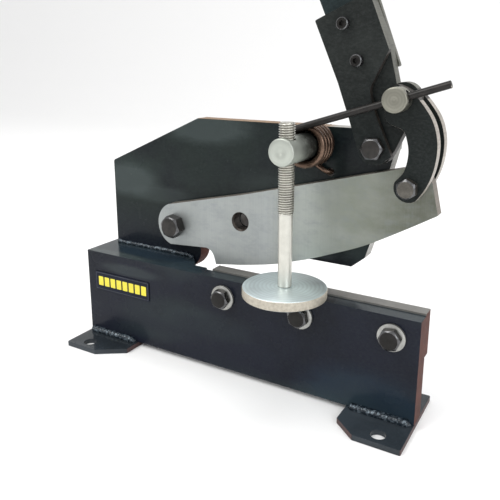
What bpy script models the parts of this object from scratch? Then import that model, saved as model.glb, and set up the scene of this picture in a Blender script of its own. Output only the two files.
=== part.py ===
"""Hand-lever plate shear: every piece as one closed solid, in metres, +Z up, front facing -Y.

Lengths below are millimetres in a drawing frame: X from the base's left end, Y back from the
base plate's front face, Z up from the bench.  place() moves that frame to the model's origin.
"""
import bpy
from math import atan2, cos, degrees, hypot, pi, radians, sin
from mathutils import Vector

MM = 0.001
ORIGIN_X, ORIGIN_Y = 186.2, 9.05         # drawing-frame point under the centre of the whole object

# ---- main sizes -------------------------------------------------------------------------
LENGTH = 364.0                            # base plate and lower edge
PLATE_T, SEAT_T = 19.0, 15.0              # base plate, and where it is milled for the blade
FOOT_T, BASE_TOP = 5.0, 98.0
FLANGE_T, FLANGE_END, FLANGE_BACK = 14.0, 129.0, 62.0
FLANGE_MID_END, TOE_X = 111.5, 104.6       # skew-cut end, and where the body plate's toe begins
SEAT_X, SEAT_Z = 145.0, 58.5
GAP = 0.3                                 # paint and running clearance between pieces

FOOT_FRONT, FOOT_BACK = -37.0, 54.0
LEFT_FOOT, RIGHT_FOOT = (39.5, 67.0, -18.0), (40.5, 60.0, -21.0)   # nose, width, bevel's Y
FOOT_HOLE_X, FOOT_HOLE_Y, FOOT_HOLE_R = 22.0, (-25.5, 42.0), 6.5

LOWER_Y = (15.25, 27.85)                  # lower blade
UPPER_Y = (28.2, 40.2)                    # upper blade, lever core and handle bar share this layer
BODY_Y = (40.6, 56.6)
LINK_T, CHEEK_T = 10.0, 5.5
LINK_FRONT_Y = (UPPER_Y[0] - GAP - LINK_T, UPPER_Y[0] - GAP)
LINK_REAR_Y = (UPPER_Y[1] + GAP, UPPER_Y[1] + GAP + LINK_T)
CHEEK_FRONT_Y = (UPPER_Y[0] - GAP - CHEEK_T, UPPER_Y[0] - GAP)
CHEEK_REAR_Y = (UPPER_Y[1] + GAP, UPPER_Y[1] + GAP + CHEEK_T)

# ---- pivots and holes, (X, Z) ------------------------------------------------------------
BLADE_PIVOT = (100.4, 133.6)
LEVER_PIVOT = (309.6, 230.0)
LINK_BOLT = (341.2, 201.1)
LINK_PIN = (330.0, 270.5)
SHAFT = (251.4, 228.5)
BAR_HOLE = (178.2, 148.0)
SPRING_HOLE = (265.0, 203.2)
BLADE_BOLTS = {"left": 176.6, "middle": 258.0, "right": 340.9}
BLADE_BOLT_Z = 80.0

SHAFT_R, SHAFT_FRONT = 11.5, -30.0
SCREW_Y, SCREW_R, SCREW_TOP, THREAD_END = -19.1, 6.8, 252.0, 175.5
DISC_R, DISC_Z = 36.4, (104.4, 112.9)
COIL_R, WIRE_R, COIL_FRONT, COIL_BACK = 16.2, 3.0, 10.5, 37.0
ROD_END_X = 371.5
PIN_HEAD_R, PIN_FRONT, PIN_SHANK_R = 10.0, 3.0, 4.0

LEVER_SWING = 110.0                       # degrees; the blade and the links follow at these ratios
BLADE_RATIO, LINK_RATIO = 0.159, -0.109

# ---- handle ------------------------------------------------------------------------------
LEAN = radians(24.1)                      # handle's lean to the left at rest
AXIS = (-sin(LEAN), cos(LEAN))            # along the handle, upwards
SIDE = (cos(LEAN), sin(LEAN))             # across the handle, to the right
SCREW_LOW, SCREW_HIGH = (292.9, 299.5), (280.0, 328.3)
BAR_LEFT, BAR_RIGHT = -15.0, 26.5         # bar's edges measured from the line of the two screws
BAR_END, GRIP_START = 590.0, 455.0        # from the lower screw, along the handle


def place(x, y, z):
    return ((x - ORIGIN_X) * MM, (y - ORIGIN_Y) * MM, z * MM)


def on_handle(side, along):
    return (SCREW_LOW[0] + SIDE[0] * side + AXIS[0] * along,
            SCREW_LOW[1] + SIDE[1] * side + AXIS[1] * along)


def arc(cx, cz, r, start, end, steps):
    """Points on an arc, degrees counter-clockwise seen from the front."""
    return [(cx + r * cos(radians(start + (end - start) * i / steps)),
             cz + r * sin(radians(start + (end - start) * i / steps))) for i in range(steps + 1)]


def mesh_object(name, verts, faces):
    mesh = bpy.data.meshes.new(name)
    mesh.from_pydata(verts, [], faces)
    mesh.validate()
    obj = bpy.data.objects.new(name, mesh)
    bpy.context.scene.collection.objects.link(obj)
    outward(obj)
    return obj


def outward(obj):
    """Turn the faces of a closed mesh outwards by the sign of its volume."""
    mesh = obj.data
    mesh.calc_loop_triangles()
    volume = 0.0
    for tri in mesh.loop_triangles:
        a, b, c = (mesh.vertices[i].co for i in tri.vertices)
        volume += a.dot(b.cross(c))
    if volume < 0:
        mesh.flip_normals()


def plate(name, outline, y0, y1, holes=()):
    """Plate cut to an outline in the XZ plane; holes are (x, z, radius)."""
    n = len(outline)
    verts = [place(x, y, z) for y in (y0, y1) for x, z in outline]
    faces = [tuple(range(n)), tuple(range(2 * n - 1, n - 1, -1))]
    faces += [(i, i + n, (i + 1) % n + n, (i + 1) % n) for i in range(n)]
    obj = mesh_object(name, verts, faces)
    for x, z, r in holes:
        subtract(obj, rod("cutter", (x, y0 - 5, z), (x, y1 + 5, z), r, 24))
    return obj


def box(name, x0, x1, y0, y1, z0, z1):
    return plate(name, [(x0, z0), (x1, z0), (x1, z1), (x0, z1)], y0, y1)


def slab(name, outline, z0, z1, holes=()):
    """Plate lying flat: outline and holes in the XY plane."""
    n = len(outline)
    verts = [place(x, y, z) for z in (z0, z1) for x, y in outline]
    faces = [tuple(range(n)), tuple(range(2 * n - 1, n - 1, -1))]
    faces += [(i, i + n, (i + 1) % n + n, (i + 1) % n) for i in range(n)]
    obj = mesh_object(name, verts, faces)
    for x, y, r in holes:
        subtract(obj, rod("cutter", (x, y, z0 - 5), (x, y, z1 + 5), r, 24))
    return obj


def turned(name, centre, rings, axis="Y", steps=24, closed=False):
    """Round or hexagonal piece about an axis through centre (the two other coordinates).

    rings are (position along the axis, radius, "round" or "hex"); a hex radius is half the
    width across flats.  closed joins the last ring to the first, which leaves a bore.
    """
    verts = []
    for pos, r, shape in rings:
        for k in range(steps):
            a = 2 * pi * k / steps
            reach = r
            if shape == "hex":
                part = (a + pi / 6) % (pi / 3) - pi / 6
                reach = r / cos(part)
            u, v = reach * cos(a), reach * sin(a)
            if axis == "Y":
                verts.append(place(centre[0] + u, pos, centre[1] + v))
            else:
                verts.append(place(centre[0] + u, centre[1] + v, pos))
    faces = []
    count = len(rings)
    for j in range(count if closed else count - 1):
        a0, b0 = j * steps, ((j + 1) % count) * steps
        faces += [(a0 + k, a0 + (k + 1) % steps, b0 + (k + 1) % steps, b0 + k) for k in range(steps)]
    if not closed:
        faces += [tuple(range(steps))[::-1], tuple(range((count - 1) * steps, count * steps))]
    return mesh_object(name, verts, faces)


def rod(name, start, end, r, steps=16):
    """Round bar between two drawing-frame points."""
    return wire(name, [start, end], r, steps)


def wire(name, path, r, steps=10):
    """Round wire swept along a path of drawing-frame points."""
    points = [Vector(p) for p in path]
    tangents = []
    for i in range(len(points)):
        a, b = points[max(i - 1, 0)], points[min(i + 1, len(points) - 1)]
        tangents.append((b - a).normalized())
    normal = tangents[0].orthogonal().normalized()
    verts, faces = [], []
    for point, tangent in zip(points, tangents):
        normal = (normal - tangent * normal.dot(tangent)).normalized()
        other = tangent.cross(normal)
        for k in range(steps):
            a = 2 * pi * k / steps
            verts.append(place(*(point + (normal * cos(a) + other * sin(a)) * r)))
    for j in range(len(points) - 1):
        a0, b0 = j * steps, (j + 1) * steps
        faces += [(a0 + k, a0 + (k + 1) % steps, b0 + (k + 1) % steps, b0 + k) for k in range(steps)]
    faces += [tuple(range(steps))[::-1], tuple(range((len(points) - 1) * steps, len(points) * steps))]
    return mesh_object(name, verts, faces)


def combine(obj, tool, operation):
    """Apply an exact Boolean at once and throw the tool away."""
    modifier = obj.modifiers.new("cut", "BOOLEAN")
    modifier.operation, modifier.solver, modifier.object = operation, "EXACT", tool
    bpy.context.view_layer.update()
    graph = bpy.context.evaluated_depsgraph_get()
    mesh = bpy.data.meshes.new_from_object(obj.evaluated_get(graph))
    obj.modifiers.clear()
    obj.data = mesh
    mesh.name = obj.name
    bpy.data.objects.remove(tool)


def subtract(obj, tool):
    combine(obj, tool, "DIFFERENCE")


def hex_bolt(name, centre, head_y, under_y, end_y, r, flats):
    """Bolt along Y with its head in front, between head_y and under_y."""
    return turned(name, centre, [(head_y, flats * 0.46, "round"), (head_y + 0.9, flats / 2, "hex"),
                                 (under_y, flats / 2, "hex"), (under_y, r, "round"),
                                 (end_y, r, "round")])


def hex_nut(name, centre, y0, y1, r, flats):
    return turned(name, centre, [(y0, flats / 2, "hex"), (y1, flats / 2, "hex"),
                                 (y1, r, "round"), (y0, r, "round")], closed=True)


def washer(name, centre, y0, y1, bore, r):
    return turned(name, centre, [(y0, r, "round"), (y1, r, "round"), (y1, bore, "round"),
                                 (y0, bore, "round")], closed=True)


def rod_direction():
    """Unit vector of the spring's long leg: from the coil's tangent point through the link pin."""
    dx, dz = LINK_PIN[0] - SHAFT[0], LINK_PIN[1] - SHAFT[1]
    distance = hypot(dx, dz)
    angle = atan2(dz, dx) - atan2(COIL_R, (distance ** 2 - COIL_R ** 2) ** 0.5)
    return angle


def build_base():
    base = box("base_angle", 0, LENGTH, 0, PLATE_T, FOOT_T + GAP, BASE_TOP)
    flange = [(0, PLATE_T - 5), (FLANGE_END, PLATE_T - 5), (FLANGE_END, PLATE_T + 3),
              (FLANGE_MID_END, BODY_Y[0] - GAP), (TOE_X - GAP, BODY_Y[0] - GAP),
              (TOE_X - GAP, FLANGE_BACK), (0, FLANGE_BACK)]
    combine(base, slab("tool", flange, BASE_TOP - FLANGE_T, BASE_TOP), "UNION")
    subtract(base, box("tool", SEAT_X, LENGTH + 5, SEAT_T, PLATE_T + 5, SEAT_Z, BASE_TOP + 5))
    for x in BLADE_BOLTS.values():
        subtract(base, rod("tool", (x, -5, BLADE_BOLT_Z), (x, PLATE_T + 5, BLADE_BOLT_Z), 5.4, 24))
    box("gusset", 22, 34, PLATE_T + GAP, FOOT_BACK - 2, FOOT_T + GAP, BASE_TOP - FLANGE_T - GAP)

    slab("foot_left", foot_outline(0, 1, *LEFT_FOOT), 0, FOOT_T,
         [(FOOT_HOLE_X, y, FOOT_HOLE_R) for y in FOOT_HOLE_Y])
    slab("foot_right", foot_outline(LENGTH, -1, *RIGHT_FOOT), 0, FOOT_T,
         [(LENGTH - FOOT_HOLE_X, y, FOOT_HOLE_R) for y in FOOT_HOLE_Y])

    weld_bead("weld_foot_left", 2, 64, -GAP, FOOT_T + GAP, 6.5, -1)
    weld_bead("weld_foot_right", LENGTH - 57, LENGTH - 2, -GAP, FOOT_T + GAP, 6.5, -1)
    weld_bead("weld_body_front", 12, 110, BODY_Y[0] - GAP, BASE_TOP + GAP, 6.5, -1)
    weld_bead("weld_body_rear", 8, 102, BODY_Y[1] + GAP, BASE_TOP + GAP, 4.8, 1)


def foot_outline(start, direction, nose, width, bevel_y):
    """Foot in the XY plane: square at the base's end, with one front corner cut away."""
    corners = [(0, FOOT_FRONT), (nose, FOOT_FRONT), (width, bevel_y), (width, FOOT_BACK), (0, FOOT_BACK)]
    return [(start + direction * x, y) for x, y in corners]


def weld_bead(name, x0, x1, y_face, z_face, leg, side):
    """Fillet bead along X in the corner between a wall at y_face and a floor at z_face."""
    profile = [(0, 0), (leg * side, 0), (leg * 0.62 * side, leg * 0.62), (0, leg)]
    verts = [place(x, y_face + dy, z_face + dz) for x in (x0, x1) for dy, dz in profile]
    faces = [(0, 1, 2, 3), (7, 6, 5, 4)] + [(i, i + 4, (i + 1) % 4 + 4, (i + 1) % 4) for i in range(4)]
    mesh_object(name, verts, faces)


def build_body():
    toe = [(TOE_X, BASE_TOP + GAP), (TOE_X, 83.8), (111.2, 86.7), (115.0, 89.6), (118.3, 93.2), (120.8, 97.2)]
    throat = [(122.5, 102.0), (122.5, 113.0), (124.2, 116.8), (128.0, 118.5)]
    outline = [(7, BASE_TOP + GAP)] + toe + throat
    outline += [(288, 118.5), (300.5, 129), (305.5, 146), (311, 180), (323.5, 232), (305, 243.5),
                (121.5, 243.5), (7, 192)]
    holes = [BLADE_PIVOT + (6.3,), LEVER_PIVOT + (6.3,), SHAFT + (8.3,), BAR_HOLE + (7.5,),
             SPRING_HOLE + (3.5,)]
    plate("body_plate", outline, *BODY_Y, holes)
    lower_outline = [(154, 59), (LENGTH, 59), (LENGTH, 99.5), (154, 99.5)]
    plate("lower_blade", lower_outline, *LOWER_Y, [(x, BLADE_BOLT_Z, 5.3) for x in BLADE_BOLTS.values()])
    for side, x in BLADE_BOLTS.items():
        centre = (x, BLADE_BOLT_Z)
        washer("blade_washer_" + side, centre, -2.8, -GAP, 5.4, 12.0)
        hex_bolt("blade_bolt_" + side, centre, -9.7, -3.1, 26.8, 5.0, 17.0)


def build_upper_blade():
    lobe = arc(*BLADE_PIVOT, 23.0, 114.0, 250.0, 12)
    outline = lobe + [(138.5, 115.3), (144.9, 111.2), (149.6, 99.8), (178, 104), (202, 108.6),
                      (220.5, 113), (236, 118), (252.3, 123.4), (273.1, 131.5), (303.3, 144.2),
                      (334, 161.2), (363.6, 179), (357.5, 205), (349.5, 218.9), (334.7, 215),
                      (178.2, 174.3)]
    holes = [BLADE_PIVOT + (6.3,), LINK_BOLT + (5.3,), BAR_HOLE + (8.6,)]
    plate("upper_blade", outline, *UPPER_Y, holes)
    hex_bolt("blade_pivot_bolt", BLADE_PIVOT, 16.0, UPPER_Y[0] - GAP, 72.0, 6.0, 21.0)
    washer("blade_pivot_washer", BLADE_PIVOT, BODY_Y[1] + GAP, BODY_Y[1] + 2.8, 6.3, 12.0)
    hex_nut("blade_pivot_nut", BLADE_PIVOT, BODY_Y[1] + 3.1, BODY_Y[1] + 13.1, 6.2, 19.0)


def build_lever():
    px, pz = LEVER_PIVOT
    lobe = arc(px, pz, 14.0, 208.0, 322.0, 12)
    notch = [(324.6, 224.0), (316.6, 242.0), (310.6, 255.3), (306.6, 266), (304.2, 276), (305.2, 281),
             (318.0, 308.0)]
    left_edge = [on_handle(-22.5, -9), on_handle(-22.5, 31.0)]
    front = lobe + notch + [on_handle(27.5, 45.0), on_handle(-22.5, 45.0)] + [left_edge[0], (287, 253)]
    holes = [LEVER_PIVOT + (6.3,), SCREW_LOW + (3.3,), SCREW_HIGH + (3.3,)]
    plate("cheek_front", front, *CHEEK_FRONT_Y, holes)
    rear = [on_handle(-22.5, -7), (322.0, 295.5), on_handle(27.5, 45.0), on_handle(-22.5, 45.0)]
    plate("cheek_rear", rear, *CHEEK_REAR_Y, [SCREW_LOW + (3.3,), SCREW_HIGH + (3.3,)])

    joint_left, joint_right = on_handle(BAR_LEFT, -18), on_handle(BAR_RIGHT, 2)
    head = arc(px, pz, 15.0, 205.0, 318.0, 12)
    core = head + [(326.5, 231), (333.5, 247), (340.5, 262)]
    core += arc(*LINK_PIN, 13.0, -28.0, 118.0, 12)
    core += [(joint_right[0] - GAP * 0.4, joint_right[1] - GAP), (joint_left[0] + 0.2, joint_left[1] - GAP),
             (286.4, 262)]
    core_plate = plate("lever_core", core, *UPPER_Y, [LEVER_PIVOT + (6.3,)])
    subtract(core_plate, plate("tool", pin_slot(), UPPER_Y[0] - 5, UPPER_Y[1] + 5))

    bar = [joint_left, joint_right, on_handle(BAR_RIGHT, BAR_END - 6), on_handle(BAR_RIGHT - 6, BAR_END),
           on_handle(BAR_LEFT + 6, BAR_END), on_handle(BAR_LEFT, BAR_END - 6)]
    plate("handle_bar", bar, *UPPER_Y, [SCREW_LOW + (3.3,), SCREW_HIGH + (3.3,)])
    for which, centre in (("low", SCREW_LOW), ("high", SCREW_HIGH)):
        front_y, back_y = CHEEK_FRONT_Y[0], CHEEK_REAR_Y[1]
        turned("handle_screw_" + which, centre,
               [(front_y - 6.3, 4.5, "round"), (front_y - 5.8, 5.0, "round"), (front_y - GAP, 5.0, "round"),
                (front_y - GAP, 3.0, "round"), (back_y + 7.5, 3.0, "round")], steps=18)
        hex_nut("handle_nut_" + which, centre, back_y + GAP, back_y + 5.3, 3.2, 10.0)
    build_grip()

    hex_bolt("lever_pivot_bolt", LEVER_PIVOT, 14.2, CHEEK_FRONT_Y[0] - GAP, 72.0, 6.0, 17.0)
    washer("lever_pivot_washer", LEVER_PIVOT, BODY_Y[1] + GAP, BODY_Y[1] + 2.8, 6.3, 12.0)
    hex_nut("lever_pivot_nut", LEVER_PIVOT, BODY_Y[1] + 3.1, BODY_Y[1] + 13.1, 6.2, 19.0)


def swung(point, centre, angle):
    """Point turned about a centre, clockwise seen from the front."""
    x, z = point[0] - centre[0], point[1] - centre[1]
    return (centre[0] + x * cos(angle) + z * sin(angle), centre[1] - x * sin(angle) + z * cos(angle))


def pin_slot():
    """Opening in the core that leaves the link pin free over the lever's whole swing."""
    points = []
    steps = 44
    for i in range(steps + 1):
        lever = radians(LEVER_SWING) * i / steps
        pin = swung(LINK_PIN, LINK_BOLT, LINK_RATIO * lever)
        pin = swung(pin, BLADE_PIVOT, BLADE_RATIO * lever)
        points += arc(*swung(pin, LEVER_PIVOT, -lever), PIN_SHANK_R + 0.5, 0, 345, 23)
    return hull(points)


def hull(points):
    """Convex outline round a set of points."""
    points = sorted(set(points))

    def half(sequence):
        chain = []
        for p in sequence:
            while len(chain) > 1 and ((chain[-1][0] - chain[-2][0]) * (p[1] - chain[-2][1])
                                      - (chain[-1][1] - chain[-2][1]) * (p[0] - chain[-2][0])) <= 1e-9:
                chain.pop()
            chain.append(p)
        return chain[:-1]
    return half(points) + half(reversed(points))


def build_grip():
    """Rubber sleeve over the bar's upper end, closed at the top."""
    mid_side, mid_y = (BAR_LEFT + BAR_RIGHT) / 2, (UPPER_Y[0] + UPPER_Y[1]) / 2
    half_w, half_t = (BAR_RIGHT - BAR_LEFT) / 2, (UPPER_Y[1] - UPPER_Y[0]) / 2

    def ring(along, w, t, corner):
        points = []
        for cx, cy, start in ((1, 1, 0), (-1, 1, 90), (-1, -1, 180), (1, -1, 270)):
            for a in (0, 30, 60, 90):
                s = mid_side + cx * (w - corner) + corner * cos(radians(start + a))
                y = mid_y + cy * (t - corner) + corner * sin(radians(start + a))
                x, z = on_handle(s, along)
                points.append(place(x, y, z))
        return points
    rings = [ring(BAR_END + GAP, half_w + GAP, half_t + GAP, 0.3),
             ring(GRIP_START, half_w + GAP, half_t + GAP, 0.3),
             ring(GRIP_START, half_w + 4.5, half_t + 4.5, 6.0),
             ring(BAR_END + 3, half_w + 4.5, half_t + 4.5, 6.0),
             ring(BAR_END + 5, half_w + 2.0, half_t + 2.0, 5.0)]
    n = len(rings[0])
    verts = [v for r in rings for v in r]
    faces = []
    for j in range(len(rings) - 1):
        faces += [(j * n + k, j * n + (k + 1) % n, (j + 1) * n + (k + 1) % n, (j + 1) * n + k)
                  for k in range(n)]
    faces += [tuple(range(n))[::-1], tuple(range((len(rings) - 1) * n, len(rings) * n))]
    mesh_object("grip", verts, faces)


def link_outline():
    """C-shaped link; its upper eye is wide enough to cover the core's slot."""
    upper = arc(*LINK_PIN, 11.5, 100.0, 180.0, 6)
    lower = arc(*LINK_BOLT, 12.2, 150.0, 300.0, 10)
    inner = [(318.7, 258.0), (321.5, 252.0), (327.5, 249.3), (334.5, 246), (337.6, 238.5), (339.2, 230.4),
             (338.6, 221.4), (336.0, 213)]
    outer = [(352, 198), (356.4, 205.8), (359.4, 215), (361, 224.1), (361.6, 232.8), (361, 240.3),
             (358.8, 249.4), (355.2, 257.6), (350, 265), (344.4, 271.4), (337.5, 277.6)]
    return upper + inner + lower + outer


def build_links():
    holes = [LINK_PIN + (PIN_SHANK_R + GAP,), LINK_BOLT + (5.3,)]
    plate("link_front", link_outline(), *LINK_FRONT_Y, holes)
    plate("link_rear", link_outline(), *LINK_REAR_Y, holes)
    hex_bolt("link_bolt", LINK_BOLT, LINK_FRONT_Y[0] - 8.5, LINK_FRONT_Y[0] - GAP, 62.0, 5.0, 15.0)
    hex_nut("link_nut", LINK_BOLT, LINK_REAR_Y[1] + GAP, LINK_REAR_Y[1] + 8.3, 5.2, 17.0)

    under, rear = LINK_FRONT_Y[0] - GAP, LINK_REAR_Y[1]
    pin = turned("link_pin", LINK_PIN,
                 [(PIN_FRONT, 9.4, "round"), (PIN_FRONT + 0.6, PIN_HEAD_R, "round"),
                  (under, PIN_HEAD_R, "round"), (under, PIN_SHANK_R, "round"),
                  (rear + 2.1, PIN_SHANK_R, "round"), (rear + 2.1, 3.2, "round"),
                  (rear + 3.5, 3.2, "round"), (rear + 3.5, PIN_SHANK_R, "round"),
                  (rear + 6, PIN_SHANK_R, "round")])
    a = rod_direction()
    dx, dz = cos(a), sin(a)
    for shift in (-2.0, 0.0, 2.0):
        x, z = LINK_PIN[0] - dz * shift, LINK_PIN[1] + dx * shift
        subtract(pin, rod("tool", (x - 14 * dx, COIL_FRONT, z - 14 * dz),
                          (x + 14 * dx, COIL_FRONT, z + 14 * dz), WIRE_R + 0.4, 20))
    washer("pin_washer", LINK_PIN, rear + GAP, rear + 1.9, PIN_SHANK_R + GAP, 9.0)
    washer("pin_ring", LINK_PIN, rear + 2.3, rear + 3.3, 3.5, 6.2)


def build_spring():
    a = rod_direction()
    dx, dz = cos(a), sin(a)
    sx, sz = SHAFT
    start = degrees(a) + 90.0
    tangent = (sx + COIL_R * cos(radians(start)), sz + COIL_R * sin(radians(start)))
    reach = (ROD_END_X - tangent[0]) / dx
    wire("spring_arm", [(tangent[0] + 0.3 * dx, COIL_FRONT, tangent[1] + 0.3 * dz),
                        (tangent[0] + reach * dx, COIL_FRONT, tangent[1] + reach * dz)], WIRE_R, 14)
    finish = 246.0 + 4 * 360.0
    steps = 110
    coil = []
    for i in range(steps + 1):
        t = i / steps
        angle = radians(start + 1.0 + (finish - start - 1.0) * t)
        y = COIL_FRONT + (COIL_BACK - COIL_FRONT) * t
        coil.append((sx + COIL_R * cos(angle), y, sz + COIL_R * sin(angle)))
    wire("spring_coil", coil, WIRE_R, 8)
    end = radians(finish + 1.5)
    hx, hz = SPRING_HOLE
    wire("spring_hook", [(sx + COIL_R * cos(end), COIL_BACK, sz + COIL_R * sin(end)),
                         (hx - 5, COIL_BACK, hz + 2.0), (hx - 1.2, COIL_BACK + 1.2, hz + 0.5),
                         (hx, COIL_BACK + 5, hz), (hx, 52, hz)], WIRE_R, 10)


def build_support():
    back = BODY_Y[1]
    shaft = turned("support_shaft", SHAFT,
                   [(SHAFT_FRONT, SHAFT_R - 0.8, "round"), (SHAFT_FRONT + 0.8, SHAFT_R, "round"),
                    (BODY_Y[0] - GAP, SHAFT_R, "round"), (BODY_Y[0] - GAP, 8.0, "round"),
                    (back + 17, 8.0, "round")], steps=32)
    subtract(shaft, rod("tool", (SHAFT[0], SCREW_Y, SHAFT[1] - 20), (SHAFT[0], SCREW_Y, SHAFT[1] + 20),
                        SCREW_R + 0.35, 24))
    washer("shaft_washer", SHAFT, back + GAP, back + 3.3, 8.4, 15.0)
    hex_nut("shaft_nut", SHAFT, back + 3.6, back + 14.6, 8.2, 24.0)
    centre = (SHAFT[0], SCREW_Y)
    top = DISC_Z[1]
    turned("hold_down_screw", centre,
           [(top - 5.2, 4.9, "round"), (top + GAP, 4.9, "round"), (top + GAP, 5.9, "round"),
            (THREAD_END, 5.9, "round"), (THREAD_END + 1, SCREW_R, "round"),
            (SCREW_TOP - 1, SCREW_R, "round"), (SCREW_TOP, SCREW_R - 1, "round")], axis="Z")
    turned("hold_down_foot", centre,
           [(DISC_Z[0], DISC_R - 0.6, "round"), (DISC_Z[0] + 0.6, DISC_R, "round"),
            (top - 0.6, DISC_R, "round"), (top, DISC_R - 0.6, "round"), (top, 5.2, "round"),
            (top - 5.5, 5.2, "round")], axis="Z", steps=40)


def build_label():
    box("label_plate", 10.6, 85.3, -0.9, -GAP, 55.4, 76.4)


for old in list(bpy.data.objects):
    bpy.data.objects.remove(old)
build_base()
build_body()
build_upper_blade()
build_lever()
build_links()
build_spring()
build_support()
build_label()
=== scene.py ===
"""Looks of the hand-lever plate shear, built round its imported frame.

Lengths are millimetres in a drawing frame: X from the base's left end, Y back from the base
plate's front face, Z up from the bench.  place() moves that frame to the model's origin.
"""
from math import atan2, ceil, cos, degrees, hypot, pi, radians, sin, tan

import bpy
from mathutils import Matrix, Vector


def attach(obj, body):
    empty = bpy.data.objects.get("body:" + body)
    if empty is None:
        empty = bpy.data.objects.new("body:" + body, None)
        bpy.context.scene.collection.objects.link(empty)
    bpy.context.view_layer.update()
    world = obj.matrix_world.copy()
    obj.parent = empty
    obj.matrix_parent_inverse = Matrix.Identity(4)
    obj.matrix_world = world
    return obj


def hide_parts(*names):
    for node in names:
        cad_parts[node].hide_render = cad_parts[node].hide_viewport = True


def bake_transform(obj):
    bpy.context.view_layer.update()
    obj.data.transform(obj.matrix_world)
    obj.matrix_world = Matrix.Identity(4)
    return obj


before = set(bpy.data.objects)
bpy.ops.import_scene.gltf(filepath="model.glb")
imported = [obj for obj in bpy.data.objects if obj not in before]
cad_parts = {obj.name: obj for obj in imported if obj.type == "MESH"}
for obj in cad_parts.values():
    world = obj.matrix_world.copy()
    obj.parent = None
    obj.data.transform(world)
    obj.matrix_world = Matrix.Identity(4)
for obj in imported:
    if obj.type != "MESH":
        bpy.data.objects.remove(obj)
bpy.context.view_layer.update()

MM = 0.001
ORIGIN_X, ORIGIN_Y = 186.2, 9.05

# ---- main sizes, as in the CAD ----
LENGTH = 364.0
PLATE_T, SEAT_T = 19.0, 15.0
FOOT_T, BASE_TOP = 5.0, 98.0
FLANGE_T, FLANGE_END, FLANGE_BACK = 14.0, 129.0, 62.0
FLANGE_MID_END, TOE_X = 111.5, 104.6
SEAT_X, SEAT_Z = 145.0, 58.5
GAP = 0.3
FOOT_FRONT, FOOT_BACK = -37.0, 54.0
FOOT_HOLE_X, FOOT_HOLE_Y, FOOT_HOLE_R = 22.0, (-25.5, 42.0), 6.5
LOWER_Y, UPPER_Y, BODY_Y = (15.25, 27.85), (28.2, 40.2), (40.6, 56.6)
LINK_T, CHEEK_T = 10.0, 5.5
LINK_FRONT_Y = (UPPER_Y[0] - GAP - LINK_T, UPPER_Y[0] - GAP)
LINK_REAR_Y = (UPPER_Y[1] + GAP, UPPER_Y[1] + GAP + LINK_T)
CHEEK_FRONT_Y = (UPPER_Y[0] - GAP - CHEEK_T, UPPER_Y[0] - GAP)
CHEEK_REAR_Y = (UPPER_Y[1] + GAP, UPPER_Y[1] + GAP + CHEEK_T)
BLADE_PIVOT, LEVER_PIVOT = (100.4, 133.6), (309.6, 230.0)
LINK_BOLT, LINK_PIN, SHAFT = (341.2, 201.1), (330.0, 270.5), (251.4, 228.5)
BAR_HOLE, SPRING_HOLE = (178.2, 148.0), (265.0, 203.2)
BLADE_BOLTS = {"left": 176.6, "middle": 258.0, "right": 340.9}
BLADE_BOLT_Z = 80.0
BOLT_SPIN = {"left": 24.0, "middle": 10.0, "right": 38.0}
SHAFT_R, SHAFT_FRONT = 11.5, -30.0
SCREW_Y, SCREW_R, SCREW_TOP, THREAD_END, PITCH = -19.1, 6.8, 252.0, 175.5, 2.0
DISC_R, DISC_Z = 36.4, (104.4, 112.9)
COIL_R, WIRE_R, COIL_FRONT, COIL_BACK = 16.2, 3.0, 10.5, 37.0
ROD_END_X = 370.0
PIN_HEAD_R, PIN_FRONT, PIN_SHANK_R = 10.0, 3.0, 4.0
LEVER_SWING, BLADE_RATIO, LINK_RATIO = 110.0, 0.159, -0.109
LEAN = radians(24.1)
AXIS, SIDE = (-sin(LEAN), cos(LEAN)), (cos(LEAN), sin(LEAN))
SCREW_LOW, SCREW_HIGH = (292.9, 299.5), (280.0, 328.3)
BAR_LEFT, BAR_RIGHT, BAR_END, GRIP_START = -15.0, 26.5, 590.0, 455.0
PIVOT_BORE, BOLT_BORE, SCREW_BORE = 6.3, 5.3, 3.3
LEVER_DRILL_Y, CORE_DRILL_Y = (15.0, 55.0), (25.0, 45.0)
LABEL = (10.6, 85.3, 55.4, 76.4)
LABEL_MARKS_Y = (-0.98, -0.92)
SHANK_R, THREAD_DEPTH = 5.95, 1.15
RIGHT_END = 0.17  # metres from the middle: faces beyond it are on the right end

CAMERA_AT, CAMERA_TURN = (467.97, -444.36, 300.45), (30.33, 13.78, -0.18)
CAMERA_LENS, CAMERA_SHIFT = 42.88, (-0.0042, -0.0896)
# Colours of painted reflections on the paint: a pale grey-green sheen and a blue glow.
REFLECTION_GREY, REFLECTION_BLUE = (0.055, 0.070, 0.070), (0.016, 0.034, 0.058)
PALETTE = {}


# ---- camera and light ----
def place(x, y, z):
    return Vector(((x - ORIGIN_X) * MM, (y - ORIGIN_Y) * MM, z * MM))


def add_camera():
    """Camera to the right and above, with a slight vertical shift."""
    azimuth, elevation, roll = map(radians, CAMERA_TURN)
    back = Vector((sin(azimuth) * cos(elevation), -cos(azimuth) * cos(elevation), sin(elevation)))
    right = Vector((cos(azimuth), sin(azimuth), 0))
    up = back.cross(right)
    turn = Matrix((right, up, back)).transposed() @ Matrix.Rotation(-roll, 3, "Z")
    data = bpy.data.cameras.new("camera")
    data.sensor_width, data.lens = 36.0, CAMERA_LENS
    data.shift_x, data.shift_y = CAMERA_SHIFT
    data.clip_start, data.clip_end = 0.02, 50
    camera = bpy.data.objects.new("camera", data)
    camera.matrix_world = Matrix.Translation(place(*CAMERA_AT)) @ turn.to_4x4()
    bpy.context.scene.collection.objects.link(camera)
    bpy.context.scene.camera = camera


def area_light(name, location, target, size, power, colour=(1, 1, 1)):
    data = bpy.data.lights.new(name, "AREA")
    data.shape, data.size, data.energy, data.color = "SQUARE", size, power, colour
    light = bpy.data.objects.new(name, data)
    light.location = location
    light.rotation_euler = (Vector(target) - Vector(location)).to_track_quat("-Z", "Y").to_euler()
    bpy.context.scene.collection.objects.link(light)


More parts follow.
